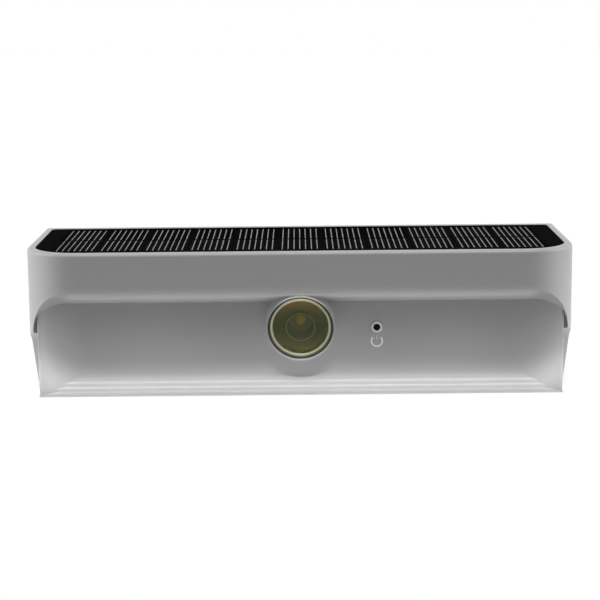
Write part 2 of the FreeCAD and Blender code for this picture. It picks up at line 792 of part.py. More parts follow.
# ---------------------------------------------------------------- solar panel
def panel_layer(name, below, thickness):
    """One layer of the panel, as wide as the tray less the gap round it."""
    body = new_body(name)
    plan = sketch_on(body, f"{name}_plan", "XY_Plane", below)
    d_outline(plan, panel_side_rim + panel_gap, panel_side_rim + panel_gap,
              panel_back_rim + panel_gap)
    feature(body, "Pad", f"{name}_pad", plan, thickness)
    return body


def make_panel_tape():
    """A ring of foam tape under the panel's edge."""
    body = panel_layer("panel_tape", panel_floor, panel_tape)
    plan = sketch_on(body, "panel_tape_window", "XY_Plane", panel_floor + panel_tape)
    inset = panel_side_rim + panel_gap + panel_tape_width
    d_outline(plan, inset, inset, panel_back_rim + panel_gap + panel_tape_width)
    feature(body, "Pocket", "panel_tape_cut", plan, panel_tape)
    return body


def make_cells():
    """Strips of solar cell in two rows, laid out from the gap between the rows."""
    strips = []
    for row in range(cell_rows):
        row_start = cell_middle + cell_row_gap / 2
        if row == 0:
            row_start = cell_middle - cell_row_gap / 2 - cell_length
        for column in range(cell_count):
            centre = (column - (cell_count - 1) / 2) * cell_pitch
            strips.append(box(f"cell_{row}_{column}",
                              (centre - cell_width / 2, centre + cell_width / 2),
                              (row_start, row_start + cell_length),
                              (cell_plane, cell_plane + cell_thickness)))
    return group("solar_cells", strips)


def make_panel_sheet():
    """The clear sheet that is cast over the cells, with a pocket for each of them."""
    body = panel_layer("solar_cover_sheet", cell_plane, cell_thickness + panel_sheet_thickness)
    sheet_plan = sketch_on(body, "cell_field", "XY_Plane", cell_plane)
    half_field = cell_pitch * (cell_count - 1) / 2 + cell_width / 2
    field = cell_length + cell_row_gap / 2
    rectangle(sheet_plan, half_field, cell_middle - field, cell_middle + field)
    feature(body, "Pocket", "cell_pocket", sheet_plan, cell_thickness, reverse=True)
    return body


# ---------------------------------------------------------------- spot light
def make_lens():
    """A clear disc with a bulging eye in the middle of its front."""
    body = new_body("lens")
    half = sketch_on(body, "lens_section", "XY_Plane")
    bulge = ((lens_eye_radius * lens_eye_radius + lens_eye_bulge * lens_eye_bulge)
             / (2 * lens_eye_bulge))
    crest = lens_ring_depth - lens_eye_bulge
    outline(half,
            (0, crest),
            (lens_eye_radius, lens_ring_depth, 0, crest + bulge, "left"),
            (lens_radius, lens_ring_depth),
            (lens_radius, lens_back),
            (0, lens_back))
    spin(body, "lens_turn", half)
    return tilt_to_lens(body)


def make_lens_ring():
    """The pale ring that holds the lens, coned inwards."""
    body = new_body("lens_ring")
    half = sketch_on(body, "lens_ring_section", "XY_Plane")
    outline(half,
            (lens_ring_crest, 0),
            (lens_radius, 0),
            (lens_radius, lens_ring_depth),
            (lens_ring_inner, lens_ring_depth),
            (lens_ring_inner, lens_ring_depth - lens_ring_land))
    spin(body, "lens_ring_turn", half)
    return tilt_to_lens(body)


def ring(name, outer, inner, start, length, x=0, z=0):
    """A plain ring about an axis along Y."""
    body = rod(f"{name}_outside", "y", outer, (as_size(x), start, z), length)
    hole = rod(f"{name}_hole", "y", inner, (as_size(x), start - length, z), 3 * length)
    return cut(name, body, hole)


def make_lens_seal():
    inner = lens_radius + bore_clearance
    return tilt_to_lens(ring("lens_seal", inner + seal_width, inner, seal_sink,
                             lens_back - seal_sink))


def make_reflector():
    """A tube behind the lens that narrows in a cone to the light source."""
    body = new_body("reflector")
    half = sketch_on(body, "reflector_section", "XY_Plane", lamp_z)
    inner = reflector_radius - reflector_wall
    outline(half,
            (inner, lens_face),
            (reflector_radius, lens_face),
            (reflector_radius, reflector_throat),
            (reflector_hole_radius + reflector_wall, led_plane),
            (reflector_hole_radius, led_plane),
            (reflector_hole_radius, led_base_front),
            (inner, reflector_throat - reflector_wall))
    spin(body, "reflector_turn", half)
    side = sketch_on(body, "reflector_front_line", "YZ_Plane")
    reach = lens_bore_radius * 2
    behind = lens_back + bore_clearance
    seat = (lens_face + behind * tilt_cosine, lens_z + behind * tilt_sine)
    low = (seat[0] + reach * tilt_sine, seat[1] - reach * tilt_cosine)
    high = (seat[0] - reach * tilt_sine, seat[1] + reach * tilt_cosine)
    outline(side, low, high, (high[0] - reach, high[1]), (low[0] - reach, low[1]))
    feature(body, "Pocket", "reflector_front", side, 2 * lens_bore_radius, midplane=True)
    return body


def make_led_board():
    disc = rod("led_disc", "y", lamp_boss_radius, (as_size(0), led_plane, lamp_z),
               led_board_thickness)
    holes = [rod(f"led_board_hole_{side}", "y", small_screw_radius + screw_clearance,
                 (x, led_plane - led_board_thickness, lamp_z), 3 * led_board_thickness)
             for side, x in enumerate(lamp_screws)]
    return cut("led_board", disc, *holes)


# ---------------------------------------------------------------- screws
def screw(name, axis, head_radius, head_height, radius, length, seat):
    """A slotted screw whose head rests on the seat, with its shank towards - along the axis."""
    number = "xyz".index(axis)
    shank_start = list(seat)
    shank_start[number] = seat[number] - length
    head = rod(f"{name}_head", axis, head_radius, seat, head_height)
    shank = rod(f"{name}_shank", axis, radius, shank_start, length)
    half_slots = [head_radius * slot_length_share, head_radius * slot_width_share]
    slot = []
    for place_number, along in enumerate(seat):
        if place_number == number:
            slot.append((along + head_height / 2, along + 2 * head_height))
        else:
            half = half_slots.pop(0)
            slot.append((along - half, along + half))
    return cut(name, fuse(f"{name}_blank", head, shank), box(f"{name}_slot", *slot))


def small_screws(name, axis, seats):
    made = [screw(f"{name}_{index}", axis, small_screw_head_radius, small_screw_head,
                  small_screw_radius, small_screw_length, seat)
            for index, seat in enumerate(seats)]
    return group(name, made)


# ---------------------------------------------------------------- push button
def make_button():
    """A round cap whose stem passes through the bezel to a flange behind the wall."""
    stem = rod("button_stem", "y", button_radius, (button_offset, button_face, button_z),
               button_back - button_face)
    flange = rod("button_flange", "y", button_flange_radius,
                 (button_offset, button_flange_front, button_z), button_flange_thickness)
    return fuse("power_button", stem, flange)


def make_bezel():
    """A flanged bush that is pressed into the wall."""
    lip = rod("bezel_lip", "y", bezel_radius, (button_offset, bezel_front, button_z),
              bezel_flange)
    neck = rod("bezel_neck", "y", bezel_neck_radius, (button_offset, recess_face, button_z), wall)
    hole = rod("bezel_hole", "y", button_radius + button_clearance,
               (button_offset, bezel_front - 1, button_z), wall + bezel_flange + 2)
    return cut("button_bezel", fuse("bezel_blank", lip, neck), hole)


def make_switch():
    body = box("switch_block", (button_offset - switch_size / 2, button_offset + switch_size / 2),
               (switch_front, switch_board_plane),
               (button_z - switch_size / 2, button_z + switch_size / 2))
    bore = rod("switch_bore", "y", plunger_radius + button_clearance,
               (button_offset, switch_front - 1, button_z),
               1 + plunger_length - switch_gap + 2 * button_travel)
    return cut("tact_switch", body, bore)


def make_switch_board():
    board = box("switch_board_plate",
                (button_offset - switch_board_width / 2, button_offset + switch_board_width / 2),
                (switch_board_plane, switch_board_plane + board_thickness),
                (button_z - switch_board_height / 2, button_z + switch_board_height / 2))
    holes = [rod(f"switch_board_hole_{side}", "y", small_screw_radius + screw_clearance,
                 (x, switch_board_plane - 1, button_z), board_thickness + 2)
             for side, x in enumerate(switch_screws)]
    return cut("switch_board", board, *holes)


# ---------------------------------------------------------------- control board
def make_control_board():
    board = box("control_board_plate", (control_board_left, control_board_right),
                (control_board_near, control_board_far),
                (control_board_plane, control_board_plane + board_thickness))
    holes = [rod(f"control_board_hole_{index}", "z", small_screw_radius + screw_clearance,
                 (x, y, control_board_plane - 1), board_thickness + 2)
             for index, (x, y) in enumerate(control_screws)]
    return cut("control_board", board, *holes)


def on_control_board(name, from_left, from_near, length, width_y, thickness):
    """A block on the board, with its middle at distances from the board's left and near edge."""
    x = control_board_left + from_left - length / 2
    y = control_board_near + from_near - width_y / 2
    return box(name, (x, x + length), (y, y + width_y), (board_top, board_top + thickness))


def make_coil():
    """A wound drum between two flanges."""
    x = control_board_left + coil_from_left
    y = control_board_near + coil_from_near
    winding = rod("coil_winding", "z", coil_radius - coil_flange, (x, y, board_top), coil_height)
    low = rod("coil_low_flange", "z", coil_radius, (x, y, board_top), coil_flange)
    high = rod("coil_high_flange", "z", coil_radius,
               (x, y, board_top + coil_height - coil_flange), coil_flange)
    return fuse("boost_coil", winding, low, high)


def make_sockets():
    return group("wire_sockets", [
        on_control_board(f"socket_{number}", socket_pitch * (number + 1), socket_from_near,
                         connector_length, connector_depth, connector_height)
        for number in range(socket_count)])


# ---------------------------------------------------------------- wires
def wire(name, *points):
    """A wire in straight runs, each along one axis, that run past one another at a bend."""
    bend = wire_radius + wire_overrun
    runs = []
    for number, (start, end) in enumerate(zip(points, points[1:])):
        before = bend if number else as_size(0)
        after = bend if number < len(points) - 2 else as_size(0)
        for axis, part in (("x", 0), ("y", 1), ("z", 2)):
            if start[part].value > end[part].value:
                start, end, before, after = end, start, after, before
            span = end[part] - start[part]
            if span.value > 0:
                base = list(start)
                base[part] = base[part] - before
                runs.append(rod(f"{name}_{number}", axis, wire_radius, tuple(base),
                                before + span + after))
    return fuse(name, *runs)


def socket_mouth(number, side):
    """The top of a socket, where one wire of its pair goes in."""
    return (control_board_left + socket_pitch * (number + 1) + side * wire_pair_pitch / 2,
            control_board_near + socket_from_near,
            board_top + connector_height)


def to_socket(name, start_points, level, number, side):
    """A wire from its own points, level along X and Y, and down into its socket."""
    mouth = socket_mouth(number, side)
    last = start_points[-1]
    return wire(name, *start_points, (mouth[0], last[1], level), (mouth[0], mouth[1], level),
                mouth)


led_wire_level = (button_z + switch_board_height / 2 + led_wire_gap + wire_radius
                  + wire_pair_pitch / 2)


def make_wires():
    switch_leads = []
    panel_leads = []
    led_leads = []
    battery_leads = []
    for side in (-1, 1):
        shift = side * wire_pair_pitch / 2
        z = button_z + switch_wire_rise + shift
        y = switch_board_plane + board_thickness
        switch_leads.append(to_socket(f"switch_lead_{side + 1}", [
            (button_offset, y, z), (button_offset, y + switch_wire_back, z)], z, 0, side))
        x = lead_hole_x + shift
        z = panel_wire_level + shift
        y = lead_hole_y + shift
        panel_leads.append(to_socket(f"panel_lead_{side + 1}", [
            (x, y, panel_board_plane), (x, y, z)], z, 1, side))
        z = led_wire_level + shift
        y = led_plane + led_board_thickness
        led_leads.append(to_socket(f"led_lead_{side + 1}", [
            (as_size(0), y, z), (as_size(0), y + led_wire_back, z)], z, 2, side))
        y = cell_axis_y + 2 * shift
        z = cell_axis_z + cell_can_radius + battery_wire_rise
        x = contact_faces[(side + 1) // 2] + side * (wire_radius + wire_clearance)
        battery_leads.append(to_socket(f"battery_lead_{side + 1}", [
            (x, y, contact_top), (x, y, z)], z, 3, side))
    return [group("switch_leads", switch_leads), group("panel_leads", panel_leads),
            group("led_leads", led_leads), group("battery_leads", battery_leads)]


# ---------------------------------------------------------------- battery
holder_length = (cell_can_length + cell_cap_height + 2 * holder_contact + 2 * holder_wall)
holder_left = holder_side_gap - cavity_half_width
holder_right = holder_left + holder_length
holder_near = front + holder_front
cell_room = cell_can_radius + holder_clearance
holder_far = holder_near + 2 * (cell_room + holder_wall)
cell_axis_y = holder_near + cell_room + holder_wall
cell_axis_z = cavity_foot + holder_wall + cell_can_radius
cell_left = holder_left + holder_wall + holder_contact
contact_places = [holder_left + holder_wall, holder_right - holder_wall - holder_contact]
contact_faces = [contact_places[0] + holder_contact, contact_places[1]]
contact_top = cell_axis_z + cell_cap_radius


def make_holder():
    block = box("holder_block", (holder_left, holder_right), (holder_near, holder_far),
                (cavity_foot, cavity_foot + holder_wall_height))
    room = box("holder_room", (holder_left + holder_wall, holder_right - holder_wall),
               (holder_near + holder_wall, holder_far - holder_wall),
               (cavity_foot + holder_wall, cavity_foot + holder_wall_height + 1))
    return cut("battery_holder", block, room)


def make_cell():
    can = rod("cell_can", "x", cell_can_radius, (cell_left, cell_axis_y, cell_axis_z),
              cell_can_length)
    cap = rod("cell_cap", "x", cell_cap_radius,
              (cell_left + cell_can_length, cell_axis_y, cell_axis_z), cell_cap_height)
    return fuse("battery_cell", can, cap)


def make_contacts():
    plates = []
    for index, x in enumerate(contact_places):
        plates.append(box(f"contact_{index}", (x, x + holder_contact),
                          (cell_axis_y - cell_cap_radius, cell_axis_y + cell_cap_radius),
                          (cavity_foot + holder_wall, contact_top)))
    return group("battery_contacts", plates)


# ---------------------------------------------------------------- rear cover
cover_half_width = cavity_half_width + cover_ledge - cover_gap
cover_low = cavity_foot - cover_ledge + cover_gap
cover_high = cavity_top + cover_ledge - cover_gap


def stadium(name, x, radius, start, end, low, high):
    """A slot tool along Y, rounded at both ends, from low to high."""
    return fuse(name,
                rod(f"{name}_low", "y", radius, (x, start, low), end - start),
                rod(f"{name}_high", "y", radius, (x, start, high), end - start),
                box(f"{name}_middle", (x - radius, x + radius), (start, end), (low, high)))


def make_cover():
    plate = box("cover_plate", (-cover_half_width, cover_half_width), (cover_front, cover_back),
                (cover_low, cover_high))
    well_radius = keyhole_entry_radius + keyhole_well_wall
    well_back = cover_front - keyhole_well_depth
    wells = [stadium(f"well_{index}", x, well_radius, well_back - keyhole_well_wall, cover_front,
                     keyhole_height, keyhole_height + keyhole_travel)
             for index, x in enumerate(keyholes)]
    pads = [rod(f"cover_pad_{index}", "y", cover_pad_radius, (x, ledge_plane, z),
                cover_seal_thickness)
            for index, (x, z) in enumerate(cover_screws)]
    tools = []
    for index, x in enumerate(keyholes):
        tools.append(stadium(f"well_room_{index}", x, keyhole_entry_radius, well_back,
                             cover_front, keyhole_height, keyhole_height + keyhole_travel))
        tools.append(rod(f"keyhole_entry_{index}", "y", keyhole_entry_radius,
                         (x, well_back, keyhole_height), cover_back - well_back + 1))
        tools.append(stadium(f"keyhole_slot_{index}", x, keyhole_slot_radius, well_back,
                             cover_back + 1, keyhole_height, keyhole_height + keyhole_travel))
    for index, (x, z) in enumerate(cover_screws):
        tools.append(rod(f"cover_hole_{index}", "y", cover_screw_radius + screw_clearance,
                         (x, ledge_plane - 1, z), cover_back - ledge_plane + 2))
        tools.append(rod(f"cover_counterbore_{index}", "y",
                         cover_screw_head_radius + screw_clearance,
                         (x, cover_back - cover_screw_head, z), cover_screw_head + 1))
    return cut("rear_cover", fuse("cover_blank", plate, *wells, *pads), *tools)


def make_cover_seal():
    outer = box("cover_seal_outside",
                (-cover_half_width, cover_half_width),
                (ledge_plane, cover_front), (cover_low, cover_high))
    inner = box("cover_seal_window", (-cavity_half_width, cavity_half_width),
                (ledge_plane - 1, cover_front + 1), (cavity_foot, cavity_top))
    return cut("cover_seal", outer, inner)


# ---------------------------------------------------------------- all pieces
def make_all():
    pieces = [
        make_housing(),
        make_panel_tape(),
        panel_layer("solar_panel_board", panel_board_plane, panel_board_thickness),
        make_cells(),
        make_panel_sheet(),
        make_lens(),
        make_lens_ring(),
        make_lens_seal(),
        make_reflector(),
        make_led_board(),
        rod("led_base", "y", reflector_hole_radius - led_base_gap,
            (as_size(0), led_base_front, lamp_z), led_base_thickness),
        taper_rod("led_dome", "y", led_dome_top_radius, led_dome_radius,
                  (as_size(0), led_base_front - led_dome_height, lamp_z), led_dome_height),
        small_screws("led_board_screws", "y",
                     [(x, led_plane + led_board_thickness, lamp_z) for x in lamp_screws]),
        make_button(),
        make_bezel(),
        ring("button_seal", button_seal_radius, button_radius + button_clearance,
             cavity_front, button_seal_thickness, x=button_offset, z=button_z),
        rod("switch_plunger", "y", plunger_radius, (button_offset, button_back, button_z),
            plunger_length),
        make_switch(),
        make_switch_board(),
        small_screws("switch_board_screws", "y",
                     [(x, switch_board_plane + board_thickness, button_z)
                      for x in switch_screws]),
        make_control_board(),
        on_control_board("charge_chip", chip_from_left, chip_from_near, chip_length, chip_width,
                         chip_height),
        make_coil(),
        make_sockets(),
        small_screws("control_board_screws", "z",
                     [(x, y, board_top) for x, y in control_screws]),
        *make_wires(),
        make_holder(),
        make_cell(),
        make_contacts(),
        make_cover(),
        make_cover_seal(),
        group("cover_screws", [
            screw(f"cover_screw_{index}", "y", cover_screw_head_radius, cover_screw_head,
                  cover_screw_radius, cover_screw_length,
                  (x, cover_back - cover_screw_head, z))
            for index, (x, z) in enumerate(cover_screws)]),
    ]
    return pieces


def check(pieces):
    """Stop before anything is written if an object failed or a shape isn't sound."""
    for item in doc.Objects:
        if "Invalid" in item.State or "Error" in item.State:
            raise RuntimeError(f"{item.Name} failed: {item.State}")
    for piece in pieces:
        shape = piece.Shape
        if shape.isNull() or not shape.isValid() or not shape.Solids:
            raise RuntimeError(f"{piece.Name} is not a sound solid")


def main():
    pieces = make_all()
    doc.recompute()
    check(pieces)
    os.makedirs("parts", exist_ok=True)
    for piece in pieces:
        piece.Label = piece.Name
        piece.Shape.exportStep(f"parts/{piece.Label}.step")
        print(f"{piece.Label}: {len(piece.Shape.Solids)} solids, {piece.Shape.Volume:.1f} mm3")


main()
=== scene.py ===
"""Looks for the fence light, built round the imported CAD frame. Metres, same frame as the CAD."""

import math

import bmesh
import bpy
from mathutils import Matrix, Vector


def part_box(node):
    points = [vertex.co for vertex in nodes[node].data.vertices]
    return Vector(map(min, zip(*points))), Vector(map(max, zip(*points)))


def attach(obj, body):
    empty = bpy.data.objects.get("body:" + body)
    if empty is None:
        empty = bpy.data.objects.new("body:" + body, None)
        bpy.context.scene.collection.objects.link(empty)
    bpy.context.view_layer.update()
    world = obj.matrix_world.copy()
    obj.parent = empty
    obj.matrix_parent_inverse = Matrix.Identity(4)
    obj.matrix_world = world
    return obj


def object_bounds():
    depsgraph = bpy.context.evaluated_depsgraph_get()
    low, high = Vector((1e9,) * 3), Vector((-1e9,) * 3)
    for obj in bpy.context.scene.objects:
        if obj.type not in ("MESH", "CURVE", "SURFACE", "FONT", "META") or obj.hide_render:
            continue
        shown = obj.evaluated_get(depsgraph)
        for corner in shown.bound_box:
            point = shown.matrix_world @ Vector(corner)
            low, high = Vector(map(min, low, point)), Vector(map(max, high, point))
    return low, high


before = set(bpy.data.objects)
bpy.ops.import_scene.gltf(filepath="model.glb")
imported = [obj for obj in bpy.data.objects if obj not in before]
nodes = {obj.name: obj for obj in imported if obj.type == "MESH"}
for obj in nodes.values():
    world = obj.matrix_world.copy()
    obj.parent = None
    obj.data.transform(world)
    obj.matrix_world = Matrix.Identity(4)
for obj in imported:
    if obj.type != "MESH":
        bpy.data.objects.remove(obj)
cad_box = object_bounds()
MM = 0.001
MASK_BLUR = 0.05 * MM


# ---------------------------------------------------------------- materials
def srgb(value):
    """A grey or colour from 0-255 screen values to linear."""
    values = value if isinstance(value, (tuple, list)) else (value, value, value)
    linear = []
    for number in values:
        share = number / 255
        linear.append(share / 12.92 if share <= 0.04045 else ((share + 0.055) / 1.055) ** 2.4)
    return (*linear, 1.0)


class Look:
    """A Principled material with a few procedural layers on object coordinates."""

    def __init__(self, name, color, rough, metallic=0.0, specular=0.5):
        self.material = bpy.data.materials.new(name)
        self.material.use_nodes = True
        self.tree = self.material.node_tree
        self.shader = next(n for n in self.tree.nodes if n.type == "BSDF_PRINCIPLED")
        self.set("Base Color", color)
        self.set("Roughness", rough)
        self.set("Metallic", metallic)
        self.set("Specular IOR Level", specular)
        self.place = self.tree.nodes.new("ShaderNodeTexCoord").outputs["Object"]
        self.normal = None

    def set(self, socket, value):
        self.shader.inputs[socket].default_value = value

    def node(self, kind, **values):
        made = self.tree.nodes.new(kind)
        for key, value in values.items():
            if key in made.inputs:
                made.inputs[key].default_value = value
            else:
                setattr(made, key, value)
        return made

    def link(self, start, end):
        self.tree.links.new(start, end)

    def stretched(self, scale):
        mapping = self.node("ShaderNodeMapping")
        mapping.inputs["Scale"].default_value = scale
        self.link(self.place, mapping.inputs["Vector"])
        return mapping.outputs["Vector"]

    def noise(self, scale, detail=3.0, rough=0.55, stretch=None):
        made = self.node("ShaderNodeTexNoise", Scale=scale, Detail=detail, Roughness=rough)
        self.link(self.stretched(stretch) if stretch else self.place, made.inputs["Vector"])
        return made.outputs["Fac"]

    def cells(self, scale, randomness=1.0):
        made = self.node("ShaderNodeTexVoronoi", Scale=scale, Randomness=randomness)
        self.link(self.place, made.inputs["Vector"])
        return made.outputs["Distance"]

    def ramp(self, value, low, high, start=0.0, end=1.0):
        made = self.node("ShaderNodeMapRange")
        for key, number in (("From Min", low), ("From Max", high), ("To Min", start),
                            ("To Max", end)):
            made.inputs[key].default_value = number
        self.link(value, made.inputs["Value"])
        return made.outputs["Result"]

    def vary_color(self, value, first, second):
        """Colour from first to second as value goes from 0 to 1."""
        made = self.node("ShaderNodeMix", data_type="RGBA")
        made.inputs[6].default_value = first
        made.inputs[7].default_value = second
        self.link(value, made.inputs[0])
        self.link(made.outputs[2], self.shader.inputs["Base Color"])

    def vary_rough(self, value, low, high):
        self.link(self.ramp(value, 0.25, 0.75, low, high), self.shader.inputs["Roughness"])

    def part(self, axis):
        """One object coordinate, 0 to 2 for X to Z."""
        parts = self.node("ShaderNodeSeparateXYZ")
        self.link(self.place, parts.inputs[0])
        return parts.outputs[axis]

    def radius(self, centre):
        """Distance from a line along Y."""
        across = self.node("ShaderNodeMapping")
        across.inputs["Location"].default_value = (-centre[0], 0, -centre[1])
        across.inputs["Scale"].default_value = (1, 0, 1)
        length = self.node("ShaderNodeVectorMath", operation="LENGTH")
        self.link(self.place, across.inputs["Vector"])
        self.link(across.outputs["Vector"], length.inputs[0])
        return length.outputs["Value"]

    def bands(self, value, stops):
        """Colour that runs through stops of (value, colour)."""
        low, high = stops[0][0], stops[-1][0]
        made = self.node("ShaderNodeValToRGB")
        marks = made.color_ramp.elements
        for number, (at, color) in enumerate(stops):
            if number == 0:
                mark = marks[0]
            elif number == len(stops) - 1:
                mark = marks[-1]
            else:
                mark = marks.new((at - low) / (high - low))
            mark.color = color
        self.link(self.ramp(value, low, high), made.inputs["Fac"])
        self.link(made.outputs["Color"], self.shader.inputs["Base Color"])

    def mask_alpha(self, box, inside):
        """Alpha of inside over a box's plan and 1 beyond it."""
        result = None
        for axis in (0, 1):
            for edge, sign in ((box[0][axis], -1), (box[1][axis], 1)):
                step = self.ramp(self.part(axis), edge - MASK_BLUR * sign,
                                 edge + MASK_BLUR * sign)
                if result:
                    most = self.node("ShaderNodeMath", operation="MAXIMUM")
                    self.link(result, most.inputs[0])
                    self.link(step, most.inputs[1])
                    step = most.outputs[0]
                result = step
        self.link(self.ramp(result, 0.0, 1.0, inside, 1.0), self.shader.inputs["Alpha"])

    def bump(self, value, height, strength=1.0):
        made = self.node("ShaderNodeBump", Strength=strength, Distance=height)
        self.link(value, made.inputs["Height"])
        if self.normal:
            self.link(self.normal, made.inputs["Normal"])
        self.normal = made.outputs["Normal"]
        self.link(self.normal, self.shader.inputs["Normal"])


def moulded(name, color, rough, spread=0.04, grain=0.012 * MM):
    """Moulded plastic: fine spark-eroded grain, faint flow mottling and uneven gloss."""
    look = Look(name, color, rough)
    fine = look.noise(2600, 2.0, 0.6)
    flow = look.noise(38, 4.0, 0.5, stretch=(0.6, 1.0, 1.6))
    darker = tuple(c * (1 - spread) for c in color[:3]) + (1.0,)
    lighter = tuple(min(1.0, c * (1 + spread)) for c in color[:3]) + (1.0,)
    look.vary_color(look.ramp(flow, 0.3, 0.7), darker, lighter)
    look.vary_rough(fine, rough - 0.05, rough + 0.06)
    look.bump(fine, grain)
    return look


def speckled(name, color, low, high, rough, specks, grain_scale, grain, specular=0.5):
    """A surface whose colour wanders between low and high in specks, with a fine grain."""
    look = Look(name, color, rough, specular=specular)
    look.vary_color(look.ramp(look.noise(specks), 0.3, 0.7), low, high)
    look.bump(look.noise(grain_scale, 2.0), grain)
    return look


def apply(look, *names):
    for name in names:
        slots = nodes[name].data.materials
        slots.clear()
        slots.append(look.material)


# Housing and cover
apply(moulded("housing_plastic", srgb(176), 0.5, 0.025), "housing_shell")
apply(moulded("cover_plastic", srgb(150), 0.58, 0.03, 0.02 * MM), "rear_cover")

# Seals and foam
seal = speckled("black_rubber", srgb(26), srgb(20), srgb(36), 0.62, 900, 3000, 0.01 * MM, 0.35)
apply(seal, "lens_seal", "button_seal", "cover_seal")

foam = Look("foam_tape", srgb(38), 0.9, specular=0.2)
foam.vary_color(foam.ramp(foam.cells(2500), 0.0, 0.7), srgb(22), srgb(52))
foam.bump(foam.cells(2500), 0.05 * MM)
apply(foam, "panel_tape")

# Solar panel: the laminate is clear over the cells and black round them
backing = speckled("panel_backing", srgb(22), srgb(18), srgb(23), 0.55, 1400, 1800,
                   0.005 * MM, 0.0)
apply(backing, "solar_panel_board")

silicon = Look("solar_silicon", srgb((22, 22, 25)), 0.5, specular=0.0)
silicon.vary_color(silicon.ramp(silicon.noise(160, 4.0), 0.3, 0.7),
                   srgb((19, 19, 21)), srgb((25, 25, 28)))
silicon.bump(silicon.noise(2200, 2.0), 0.002 * MM)
apply(silicon, "solar_cells")

laminate = Look("laminate", srgb(20), 0.3, specular=0.0)
laminate.vary_rough(laminate.noise(120, 3.0), 0.24, 0.34)
laminate.bump(laminate.noise(90, 2.0), 0.01 * MM, 0.5)
laminate.mask_alpha(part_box("solar_cells"), 0.08)
apply(laminate, "solar_cover_sheet")

silver = Look("silver_paste", srgb(176), 0.5, specular=0.0)
silver.vary_color(silver.ramp(silver.noise(2400), 0.25, 0.75), srgb(158), srgb(190))
silver.bump(silver.noise(3200, 2.0), 0.004 * MM)

# Lens, its ring, the reflector and the LED
clear = Look("lens_clear", srgb((216, 220, 184)), 0.12, specular=0.08)
clear.set("Transmission Weight", 1.0)
clear.set("IOR", 1.28)
clear.vary_rough(clear.noise(300), 0.10, 0.15)
apply(clear, "lens")

lens_low, lens_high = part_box("lens")
lens_centre = ((lens_low[0] + lens_high[0]) / 2, (lens_low[2] + lens_high[2]) / 2)
# The ring's colour turns dark olive beyond about 11 mm from the lens's axis: a painted dark
# reflection on its outer chamfer, over a cream ring.
cream = moulded("cream_ring_painted_reflection", srgb((196, 195, 165)), 0.55, 0.03, 0.006 * MM)
cream.bands(cream.radius(lens_centre), (
    (10.0 * MM, srgb((196, 195, 165))), (10.85 * MM, srgb((190, 189, 158))),
    (11.1 * MM, srgb((70, 72, 56))), (12.0 * MM, srgb((52, 54, 42)))))
apply(cream, "lens_ring")

# Painted light: the dark olive reflector is painted lighter and browner towards the top and the
# bottom and darker in the middle, as light falls on it through the lens.
olive = moulded("olive_reflector_painted_light", srgb((96, 104, 62)), 0.5, 0.05, 0.006 * MM)
olive.set("Specular IOR Level", 0.1)
olive.bands(olive.part(2), (
    (-11 * MM, srgb((150, 138, 100))), (-6 * MM, srgb((100, 104, 62))),
    (-2 * MM, srgb((80, 98, 54))), (2 * MM, srgb((104, 110, 68))),
    (5 * MM, srgb((160, 128, 94))), (8 * MM, srgb((200, 150, 116)))))
apply(olive, "reflector")
apply(moulded("olive_carrier", srgb((94, 88, 50)), 0.5, 0.06, 0.01 * MM), "led_base")

phosphor = speckled("led_phosphor", srgb((160, 140, 36)), srgb((148, 128, 30)),
                    srgb((168, 148, 44)), 0.6, 3000, 4000, 0.01 * MM, 0.05)
apply(phosphor, "led_dome")

# Button, its bezel and the switch
apply(moulded("white_trim", srgb(250), 0.35, 0.02, 0.006 * MM), "button_bezel")
apply(speckled("jet_button", srgb(8), srgb(5), srgb(12), 0.6, 1500, 2600, 0.005 * MM, 0.08),
      "power_button")
apply(moulded("black_moulding", srgb(20), 0.45, 0.1, 0.008 * MM),
      "switch_plunger", "tact_switch", "charge_chip", "battery_holder")

# Boards, metal, electronics and leads
board = Look("circuit_board", srgb((30, 92, 58)), 0.4)
board.vary_color(board.ramp(board.noise(1200, 5.0), 0.35, 0.65), srgb((24, 78, 48)),
                 srgb((38, 108, 68)))
board.bump(board.noise(2500, 2.0), 0.01 * MM)
apply(board, "led_board", "switch_board", "control_board")

steel = Look("zinc_steel", srgb(190), 0.32, metallic=1.0)
steel.vary_color(steel.ramp(steel.noise(900, 3.0), 0.3, 0.7), srgb(170), srgb(205))
steel.vary_rough(steel.noise(1500), 0.25, 0.42)
steel.bump(steel.noise(2600, 2.0), 0.01 * MM)
apply(steel, "led_board_screws", "switch_board_screws", "control_board_screws",
      "cover_screws", "battery_contacts")

apply(moulded("ferrite", srgb(48), 0.6, 0.1), "boost_coil")
apply(moulded("ivory_socket", srgb((226, 220, 196)), 0.4), "wire_sockets")
apply(moulded("shrink_wrap", srgb((40, 84, 150)), 0.25, 0.04), "battery_cell")
apply(moulded("red_insulation", srgb((170, 36, 30)), 0.35, 0.05), "panel_leads", "battery_leads")
apply(moulded("black_insulation", srgb(28), 0.35, 0.08), "switch_leads", "led_leads")


# ---------------------------------------------------------------- meshes
def mesh_piece(name, build, look, body="housing"):
    """A new object whose mesh is filled in by build(bm)."""
    bm = bmesh.new()
    build(bm)
    bmesh.ops.remove_doubles(bm, verts=bm.verts, dist=1e-7)
    bmesh.ops.recalc_face_normals(bm, faces=bm.faces)
    mesh = bpy.data.meshes.new(name)
    bm.to_mesh(mesh)
    bm.free()
    thing = bpy.data.objects.new(name, mesh)
    bpy.context.scene.collection.objects.link(thing)
    thing.data.materials.append(look.material)
    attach(thing, body)
    return thing


def add_box(bm, low, high):
    corners = [bm.verts.new((x, y, z)) for x in (low[0], high[0]) for y in (low[1], high[1])
               for z in (low[2], high[2])]
    for face in ((0, 1, 3, 2), (4, 6, 7, 5), (0, 4, 5, 1), (2, 3, 7, 6), (0, 2, 6, 4),
                 (1, 5, 7, 3)):
        bm.faces.new([corners[i] for i in face])


